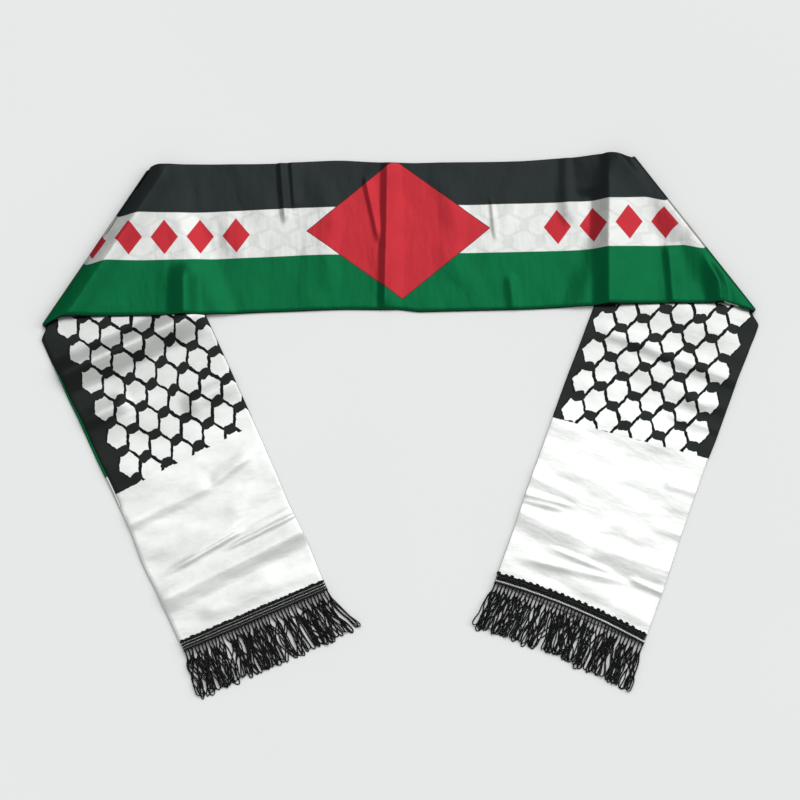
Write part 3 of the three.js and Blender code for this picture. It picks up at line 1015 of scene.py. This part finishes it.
    def lozenge(self, nodes: Nodes, x: object, y: object, half: Sequence[float]) -> object:
        """Mask of a lozenge about the origin."""
        size = [nodes.add("ABSOLUTE", (value,)) for value in (x, y)]
        total = nodes.weigh(size, (1 / half[0], 1 / half[1]))
        return nodes.below(total, 1.0, self.flag.edge / min(half), "LINEAR")

    def surface(self, nodes: Nodes, cloth_mm: object) -> object:
        """Relief of the threads and the small ripples between the creases.

        Args:
            nodes: The tree.
            cloth_mm: Socket of the place on the cloth, in mm.

        Returns:
            The normal's socket.
        """
        long = nodes.add(VECTOR_MATH, (cloth_mm, (0.10, 0.035, 1.0)), operation="MULTIPLY")
        ripple = nodes.add(NOISE, {"Vector": long, "Scale": 1.0, "Detail": 2.5, "Roughness": 0.55})
        # Floats run along the scarf, drawn a little coarser than the real ones.
        floats = nodes.add(VECTOR_MATH, (cloth_mm, (0.25 / self.thread, 1.0 / self.thread, 1.0)),
                           operation="MULTIPLY")
        threads = nodes.add(NOISE, {"Vector": floats, "Scale": 1.0, "Detail": 1.0})
        normal = nodes.add(BUMP, {"Strength": 0.35, "Distance": 0.0009, "Height": ripple})
        return nodes.add(BUMP, {"Strength": 0.12, "Distance": 0.0001, "Height": threads, "Normal": normal})


@dataclass(frozen=True)
class Yarn(Finish):
    """Viscose yarn, three plies laid together: black, with a soft gleam along each ply."""

    name: str = "viscose_braid_black"
    colour: str = "08090a"
    light: str = "141617"
    roughness: float = 0.5
    specular: float = 0.15

    def draw(self, nodes: Nodes) -> Mapping[str, object]:
        """Add the nodes, and return what goes into the surface."""
        place = nodes.add("ShaderNodeTexCoord", output="Object")
        tone = nodes.add(NOISE, {"Vector": place, "Scale": 180.0, "Detail": 2.0})
        fibres = nodes.add(NOISE, {"Vector": place, "Scale": 2600.0, "Detail": 1.0})
        normal = nodes.add(BUMP, {"Strength": 0.4, "Distance": 0.0001, "Height": fibres})
        return {"Base Color": nodes.blend(tone, linear(self.colour), linear(self.light)),
                "Roughness": self.roughness, "Normal": normal, "Specular IOR Level": self.specular}


@dataclass(frozen=True)
class Board(Finish):
    """The table's pale painted board: almost even, with no gleam, so the cloth's edges stand clear."""

    name: str = "matt_pale_board"
    colour: str = "eceeed"
    light: str = "f0f2f1"

    def draw(self, nodes: Nodes) -> Mapping[str, object]:
        """Add the nodes, and return what goes into the surface."""
        place = nodes.add("ShaderNodeTexCoord", output="Object")
        grain = nodes.add(NOISE, {"Vector": place, "Scale": 3.0, "Detail": 2.0})
        return {"Base Color": nodes.blend(grain, linear(self.colour), linear(self.light)), "Roughness": 0.9,
                "Specular IOR Level": 0.2}


# ---------- Fringe ----------
def start_tree(name: str, inputs: Mapping[str, float]) -> tuple[Nodes, bpy.types.NodeOutputs, object]:
    """Start a tree that turns drawn paths into geometry, with named inputs.

    Args:
        name: The tree's name.
        inputs: Each size's name and first value.

    Returns:
        The tree's builder, the sockets of its inputs, and the paths as a curve.
    """
    tree = bpy.data.node_groups.new(name, "GeometryNodeTree")
    nodes, face = Nodes(tree), tree.interface
    face.new_socket("Geometry", in_out="INPUT", socket_type="NodeSocketGeometry")
    for label, value in inputs.items():
        face.new_socket(label, in_out="INPUT", socket_type="NodeSocketFloat").default_value = value
    face.new_socket("Material", in_out="INPUT", socket_type="NodeSocketMaterial")
    face.new_socket("Geometry", in_out="OUTPUT", socket_type="NodeSocketGeometry")
    given = tree.nodes.new("NodeGroupInput").outputs
    return nodes, given, nodes.add("GeometryNodeMeshToCurve", {"Mesh": given["Geometry"]})


def end_tree(nodes: Nodes, given: bpy.types.NodeOutputs, geometry: object) -> bpy.types.NodeTree:
    """End a tree: smooth real geometry with its material."""
    real = nodes.add("GeometryNodeSetShadeSmooth", {"Geometry": geometry, "Shade Smooth": True})
    real = nodes.add("GeometryNodeRealizeInstances", (real,))
    dressed = nodes.add("GeometryNodeSetMaterial", {"Geometry": real, "Material": given["Material"]})
    nodes.add("NodeGroupOutput", (dressed,))
    return nodes.tree


def yarn_tree() -> bpy.types.NodeTree:
    """Yarn of three plies along each path."""
    nodes, given, curve = start_tree("ply_yarn", {"Radius": 0.0006, "Ply Depth": 0.3, "Lay": 0.004})
    turns = nodes.add("DIVIDE", (nodes.add("GeometryNodeSplineParameter", output="Length"), given["Lay"]))
    tilt = nodes.add("MULTIPLY", (turns, math.tau))
    curve = nodes.add("GeometryNodeSetCurveTilt", {"Curve": curve, "Tilt": tilt})
    inner = nodes.add("MULTIPLY", (given["Radius"], nodes.add("SUBTRACT", (1.0, given["Ply Depth"]))))
    profile = nodes.add("GeometryNodeCurveStar",
                        {"Points": 3, "Inner Radius": inner, "Outer Radius": given["Radius"]})
    mesh = nodes.add("GeometryNodeCurveToMesh", {"Curve": curve, "Profile Curve": profile, "Fill Caps": True})
    return end_tree(nodes, given, mesh)


def stitch_tree() -> bpy.types.NodeTree:
    """A row of slanting stitches along each path."""
    nodes, given, curve = start_tree(
        "stitch_row", {"Pitch": 0.002, "Length": 0.003, "Radius": 0.001, "Slant": 0.6})
    points = nodes.add("GeometryNodeResampleCurve", {"Curve": curve, "Length": given["Pitch"]}, mode="LENGTH")
    turn = nodes.add("FunctionNodeAlignRotationToVector", {"Vector": nodes.add("GeometryNodeInputTangent")},
                     axis="X")
    slant = nodes.add("ShaderNodeCombineXYZ", (0.0, 0.0, given["Slant"]))
    turn = nodes.add("FunctionNodeRotateRotation", {"Rotation": turn, "Rotate By": slant},
                     rotation_space="LOCAL")
    half = nodes.add("MULTIPLY", (given["Length"], 0.5))
    size = nodes.add("ShaderNodeCombineXYZ", (half, given["Radius"], given["Radius"]))
    bead = nodes.add("GeometryNodeMeshUVSphere", {"Segments": 8, "Rings": 6, "Radius": 1.0})
    placed = nodes.add("GeometryNodeInstanceOnPoints",
                       {"Points": points, "Instance": bead, "Rotation": turn, "Scale": size})
    return end_tree(nodes, given, placed)


@dataclass(frozen=True)
class Heading:
    """The braided heading, in mm below its top line.

    cords gives each cord's place and radius, and the threads cross under them. picot_shape gives
    a picot's points: the share of the heading's width they lie off, and how far they stand out.
    """

    cords: tuple[tuple[float, float], ...]
    picot_pitch: float
    picot_rise: float
    thread_pitch: float = 1.5
    thread: float = 0.2
    thread_downs: tuple[float, ...] = (0.6, 4.0, 8.0, 11.2)
    picot: float = 1.0
    picot_down: float = 0.9
    picot_level: float = 0.8
    picot_uneven: tuple[float, float] = (0.3, 1.25)
    picot_stray: float = 0.005
    picot_shape: tuple[tuple[float, float], ...] = (
        (-0.011, 0.0), (-0.007, 0.8), (0.0, 1.0), (0.007, 0.8), (0.011, 0.0))
    cord_ends: tuple[float, float] = (0.012, 0.988)
    cord_wave: float = 0.15
    cord_level: float = 0.5
    cord_swell: float = 0.45
    foot: float = 2.7


@dataclass
class Fringe:
    """The trim of one end: a braided heading sewn over the hem, and a row of loops.

    lean gives the loops' slant in degrees at shares of the way across. Sizes are in mm. What ends
    in from or over is a share of the way down a loop.
    """

    tail: Tail
    laying: Laying
    heading: Heading
    lean: tuple[tuple[float, float], ...]
    bars: int = 44
    filled: tuple[float, ...] = (1.0, 0.85)
    length: float = 46.8
    yarn: float = 0.72
    root: float = 9.9
    stray: float = 2.6
    shorter: float = 1.6
    uneven: float = 1.2
    meander: float = 2.6
    meander_turns: tuple[float, float] = (1.0, 2.2)
    meander_from: float = 0.07
    meander_over: float = 0.22
    leg_gap: float = 0.2
    swell: tuple[float, float] = (1.0, 2.5)
    spread_from: float = 0.13
    spread_over: float = 0.2
    twist: tuple[float, float] = (0.8, 3.0)
    twist_from: float = 0.12
    twist_over: float = 0.6
    closed_from: float = 0.66
    closed_over: float = 0.2
    tip_over: float = 0.05
    lowest: float = 0.75
    layer_height: float = 1.15
    loft: float = 0.35
    root_rise: float = 0.25
    root_drop: float = 0.5
    settle: float = 9.0
    crossing: float = 0.5
    clear: float = 0.05
    loop_points: int = 46
    seed: int = 3

    def point(self, share: np.ndarray, down: np.ndarray, z: np.ndarray) -> np.ndarray:
        """Points of the trim: down mm below its top line, for shares of the way across."""
        share, down, z = np.broadcast_arrays(np.atleast_1d(share).astype(float), down, z)
        back = self.tail.top_line(share) - down
        w = mix(self.laying.tail_edge(self.tail, 0, back), self.laying.tail_edge(self.tail, 1, back), share)
        return np.column_stack([self.tail.in_plan(back, w), z])

    def shares(self, pitch: float, margin: float) -> np.ndarray:
        """Places across the heading, one for each pitch."""
        return np.linspace(margin, 1 - margin, int((self.tail.edges[0, 1] - self.tail.edges[0, 2]) / pitch))

    def cord(self, down: float, z: float) -> np.ndarray:
        """A line along the heading, which wavers a little."""
        share = np.linspace(*self.heading.cord_ends, 151)
        return self.point(
            share, down + self.heading.cord_wave * np.sin(41 * share) * np.cos(17 * share), z)

    def threads(self) -> list[np.ndarray]:
        """Threads that cross the heading under its cords."""
        heading = self.heading
        downs = np.array(heading.thread_downs)
        return [self.point(share, downs, heading.foot + heading.thread)
                for share in self.shares(heading.thread_pitch, 0.006)]

    def picots(self) -> list[np.ndarray]:
        """Small knots that stand out of the heading's top edge."""
        heading, random = self.heading, np.random.default_rng(self.seed)
        shares = self.shares(heading.picot_pitch, 0.02)
        rises = heading.picot_rise * random.uniform(*heading.picot_uneven, len(shares))
        shares = shares + random.normal(0, heading.picot_stray, len(shares))
        along, bump = np.array(heading.picot_shape).T
        down, level = heading.picot_down, heading.foot + heading.picot_level
        return [self.point(share + along, down - rise * bump, level) for share, rise in zip(shares, rises)]

    def one_loop(self, share: float, layer: int, random: np.random.Generator) -> np.ndarray:
        """Path of one loop: down one leg, round the tip and up the other.

        Args:
            share: Its place across the heading.
            layer: 0 for a loop that lies on the table and 1 for one on top.
            random: The source of its chances.

        Returns:
            Points.
        """
        reach = self.length - self.shorter * layer + random.normal(0, self.uneven)
        lean = math.radians(np.interp(share, *np.array(self.lean).T))
        tip = reach * math.tan(lean) + random.normal(0, self.stray)
        stray = random.normal(0, self.meander)
        phase, turns = random.uniform(0, math.tau), random.uniform(*self.meander_turns)
        swell = random.uniform(*self.swell)
        twist = random.uniform(*self.twist) * random.choice([-1, 1])
        steps = np.linspace(0, 1, self.loop_points)
        # The centre line between both legs, which meanders towards its tip.
        meander = stray * np.sin(phase + math.pi * turns * steps)
        meander = meander * smooth((steps - self.meander_from) / self.meander_over)
        centre = self.point(share, self.root, 0.0)[0, :2]
        centre = centre + np.multiply.outer(tip * steps ** 1.5 + meander, direction(self.tail.heading + 90))
        centre = centre + np.multiply.outer(reach * steps, direction(self.tail.heading))
        along = np.gradient(centre, axis=0)
        along /= np.linalg.norm(along, axis=1)[:, None]
        across = np.column_stack([-along[:, 1], along[:, 0]])
        # The legs wind round each other, swell apart and close in a round tip.
        turn = math.pi * (0.5 + twist * np.clip(steps - self.twist_from, 0, None))
        closing = smooth((steps - self.closed_from) / self.closed_over)
        width = mix(self.leg_gap, swell, smooth((steps - self.spread_from) / self.spread_over))
        side = 1.0 if math.cos(math.pi * (0.5 + twist * self.twist_over)) > 0 else -1.0
        tip_round = np.sqrt(np.clip((1 - steps) / self.tip_over, 0, 1))
        off = mix(width * np.cos(turn), side * swell, closing) * tip_round
        level = self.lowest + self.layer_height * layer + random.uniform(0, self.loft)
        rest = mix(self.heading.foot + self.root_rise - self.root_drop * (1 - layer), level,
                   smooth(steps * reach / self.settle))
        lift = self.crossing * np.sin(turn) * (1 - closing)
        one, two = (np.column_stack([centre + way * across * off[:, None], rest + way * lift])
                    for way in (1, -1))
        path = np.vstack([one, two[::-1][1:]])
        path[:, 2] = np.maximum(path[:, 2], self.yarn + self.clear)
        return path

    def loops(self) -> list[np.ndarray]:
        """Paths of all loops, bar by bar."""
        random = np.random.default_rng(self.seed)
        shares = (np.arange(self.bars) + 0.5) / self.bars
        return [
            self.one_loop(float(share), layer, random)
            for layer, filled in enumerate(self.filled) for share in shares if random.random() < filled
        ]

    @staticmethod
    def swept(
        paths: Sequence[np.ndarray], tree: bpy.types.NodeTree, sizes: Mapping[str, object]
    ) -> bpy.types.Object:
        """Draw paths as loose edges, run a tree over them and keep its plain mesh.

        Args:
            paths: The paths' points.
            tree: The tree.
            sizes: The values of the tree's inputs.

        Returns:
            The piece.
        """
        points, edges = [], []
        for path in paths:
            first = len(points)
            points += (path * MM).tolist()
            edges += [(first + i, first + i + 1) for i in range(len(path) - 1)]
        mesh = bpy.data.meshes.new("paths")
        mesh.from_pydata(points, edges, [])
        piece = show("paths", mesh)
        modifier = piece.modifiers.new("sweep", "NODES")
        modifier.node_group = tree
        for item in tree.interface.items_tree:
            if item.in_out == "INPUT" and item.name in sizes:
                modifier[item.identifier] = sizes[item.name]
        mesh = bpy.data.meshes.new_from_object(piece.evaluated_get(bpy.context.evaluated_depsgraph_get()))
        piece.modifiers.clear()
        piece.data = mesh
        return piece

    def build(self, material: bpy.types.Material) -> bpy.types.Object:
        """Make the whole trim as one piece.

        Args:
            material: The yarn.

        Returns:
            The trim.
        """
        yarn, stitches = yarn_tree(), stitch_tree()
        heading = self.heading
        parts = [
            self.swept(paths, yarn, {"Radius": radius * MM, "Ply Depth": depth, "Lay": lay,
                                     "Material": material})
            for paths, radius, depth, lay in (
                (self.loops(), self.yarn, 0.25, 0.008), (self.threads(), heading.thread, 0.2, 0.05),
                (self.picots(), heading.picot, 0.2, 0.008))
        ]
        for down, radius in heading.cords:
            cord = self.cord(down, heading.foot + heading.cord_level + heading.cord_swell * radius)
            parts.append(self.swept([cord], stitches, {"Pitch": 0.0011, "Length": 0.0034, "Slant": 0.5,
                                                       "Radius": radius * MM, "Material": material}))
        points, faces = [], []
        for part in parts:
            first = len(points)
            points += [tuple(v.co) for v in part.data.vertices]
            faces += [tuple(first + i for i in face.vertices) for face in part.data.polygons]
            bpy.data.objects.remove(part)
        name = f"fringe_trim_{self.tail.side.value}"
        mesh = bpy.data.meshes.new(name)
        mesh.from_pydata(points, [], faces)
        mesh.shade_smooth()
        mesh.materials.append(material)
        return show(name, mesh)


# ---------- Studio ----------
@dataclass
class Studio:
    """A pale table, soft light from above and a camera that looks down on the scarf.

    window and lamp hold azimuth, height and spread in degrees, and strength.
    """

    elevation: float = 72.0
    distance: float = 4.0
    look_at: tuple[float, float, float] = (0.00142, -0.1632, 0.0)
    lens: float = 192.0
    sensor: float = 36.0
    half_table: float = 6.0
    room: float = 0.5
    window: tuple[float, float, float, float] = (67.0, 60.0, 40.0, 1.15)
    lamp: tuple[float, float, float, float] = (8.0, 30.0, 36.0, 0.75)

    def camera(self) -> None:
        """Set up the camera."""
        rise = math.radians(self.elevation)
        away = Vector((0.0, -math.cos(rise), math.sin(rise))) * self.distance
        camera = show("camera", bpy.data.cameras.new("camera"))
        camera.location = Vector(self.look_at) + away
        camera.rotation_euler = (-away).to_track_quat("-Z", "Y").to_euler()
        camera.data.lens, camera.data.sensor_width = self.lens, self.sensor
        bpy.context.scene.camera = camera

    def table(self) -> None:
        """Set up the table."""
        mesh = bpy.data.meshes.new("table")
        size = self.half_table
        corners = [(-size, -size, 0), (size, -size, 0), (size, size, 0), (-size, size, 0)]
        mesh.from_pydata(corners, [], [(0, 1, 2, 3)])
        mesh.materials.append(Board().material())
        show("table", mesh)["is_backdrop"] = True

    @staticmethod
    def light(name: str, azimuth: float, height: float, spread: float, strength: float) -> None:
        """Hang one wide soft light.

        Args:
            name: The light's name.
            azimuth: Where it stands, in degrees from +X.
            height: How high it stands, in degrees.
            spread: How wide it looks from the table, in degrees.
            strength: Its strength.
        """
        data = bpy.data.lights.new(name, "SUN")
        data.angle, data.energy = math.radians(spread), strength
        plan, rise = direction(azimuth), math.radians(height)
        toward = Vector((plan[0] * math.cos(rise), plan[1] * math.cos(rise), math.sin(rise)))
        show(name, data).rotation_euler = (-toward).to_track_quat("-Z", "Y").to_euler()

    def build(self) -> None:
        """Set up camera, table and light."""
        self.camera()
        self.table()
        world = bpy.data.worlds.new("room")
        world.use_nodes = True
        nodes = Nodes(world.node_tree)
        shader = nodes.add("ShaderNodeBackground", {"Color": (1, 1, 1, 1), "Strength": self.room})
        nodes.add("ShaderNodeOutputWorld", {"Surface": shader})
        bpy.context.scene.world = world
        self.light("window", *self.window)
        self.light("lamp", *self.lamp)
        bpy.context.scene.view_settings.view_transform = "Standard"


# ---------- The scarf ----------
@dataclass
class Scarf:
    """The whole scarf."""

    laying: Laying = field(default_factory=Laying)
    band_rows: int = 430
    tail_rows: int = 230
    fold_steps: int = 12

    def rows(self) -> list[Row]:
        """Every row from the left hem to the right one."""
        left, right = (self.laying.fold_axis(self.laying.tails[side])[1][:, 0] for side in Side)
        parts = np.linspace(0.0, 1.0, self.tail_rows + 1)
        bends = np.linspace(0.0, 180.0, self.fold_steps + 1)
        ends = {side: [*(Row(Stretch.FOLD, side, (float(bend),)) for bend in bends),
                       *(Row(Stretch.TAIL, side, (float(part),)) for part in parts)] for side in Side}
        band = [Row(Stretch.BAND, None, tuple(mix(left, right, share).tolist()))
                for share in np.linspace(0.0, 1.0, self.band_rows + 1)[1:-1]]
        return [*ends[Side.LEFT][::-1], *band, *ends[Side.RIGHT]]

    def build(self) -> None:
        """Make and dress every piece, attach each to the root body, and hide the model's own parts."""
        rows, repeat = self.rows(), NetRepeat(self.laying)
        flag = Panel("flag_panel", True, self.laying, repeat, rows).build(
            Satin("printed_satin_flag", repeat, white="b8bab7", flag=FlagPrint()))
        net = Panel("net_panel", False, self.laying, repeat, rows).build(
            Satin("printed_satin_net", repeat, ink="1c201e"))
        yarn = Yarn().material()
        leans = {
            Side.LEFT: ((0.0, 14.0), (0.04, 10.0), (0.12, 5.0), (0.5, 0.0), (1.0, -5.0)),
            Side.RIGHT: ((0.0, -8.0), (0.06, -3.0), (0.6, -1.0), (1.0, -1.0)),
        }
        headings = {
            Side.LEFT: Heading(((1.3, 1.0), (4.2, 0.6), (6.9, 0.6), (9.6, 0.7)), 4.0, 0.9),
            Side.RIGHT: Heading(((1.3, 1.0), (3.8, 0.5), (5.6, 0.35), (9.3, 0.55)), 6.0, 1.5),
        }
        trims = {
            side: Fringe(tail, self.laying, headings[side], leans[side], seed=3 + index).build(yarn)
            for index, (side, tail) in enumerate(self.laying.tails.items())
        }
        pieces = (flag, net, *trims.values())
        for piece in pieces:
            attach(piece, "root")
        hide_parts("flag_panel_band", "flag_panel_tail_left", "flag_panel_tail_right")
        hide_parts("net_panel_band", "net_panel_tail_left", "net_panel_tail_right")
        for side, trim in trims.items():
            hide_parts(f"fringe_{side.value}")
        for piece in pieces:
            triangles = sum(len(face.vertices) - 2 for face in piece.data.polygons)
            LOG.info("%s: %d triangles", piece.name, triangles)


def main() -> list:
    """Build everything.

    Returns:
        The frame's box before anything was added.
    """
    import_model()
    frame_box = [list(corner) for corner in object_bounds()]
    Studio().build()
    Scarf().build()
    return frame_box


if __name__ == "__main__":
    logging.basicConfig(level=logging.INFO, format="%(name)s %(message)s")
    box = main()
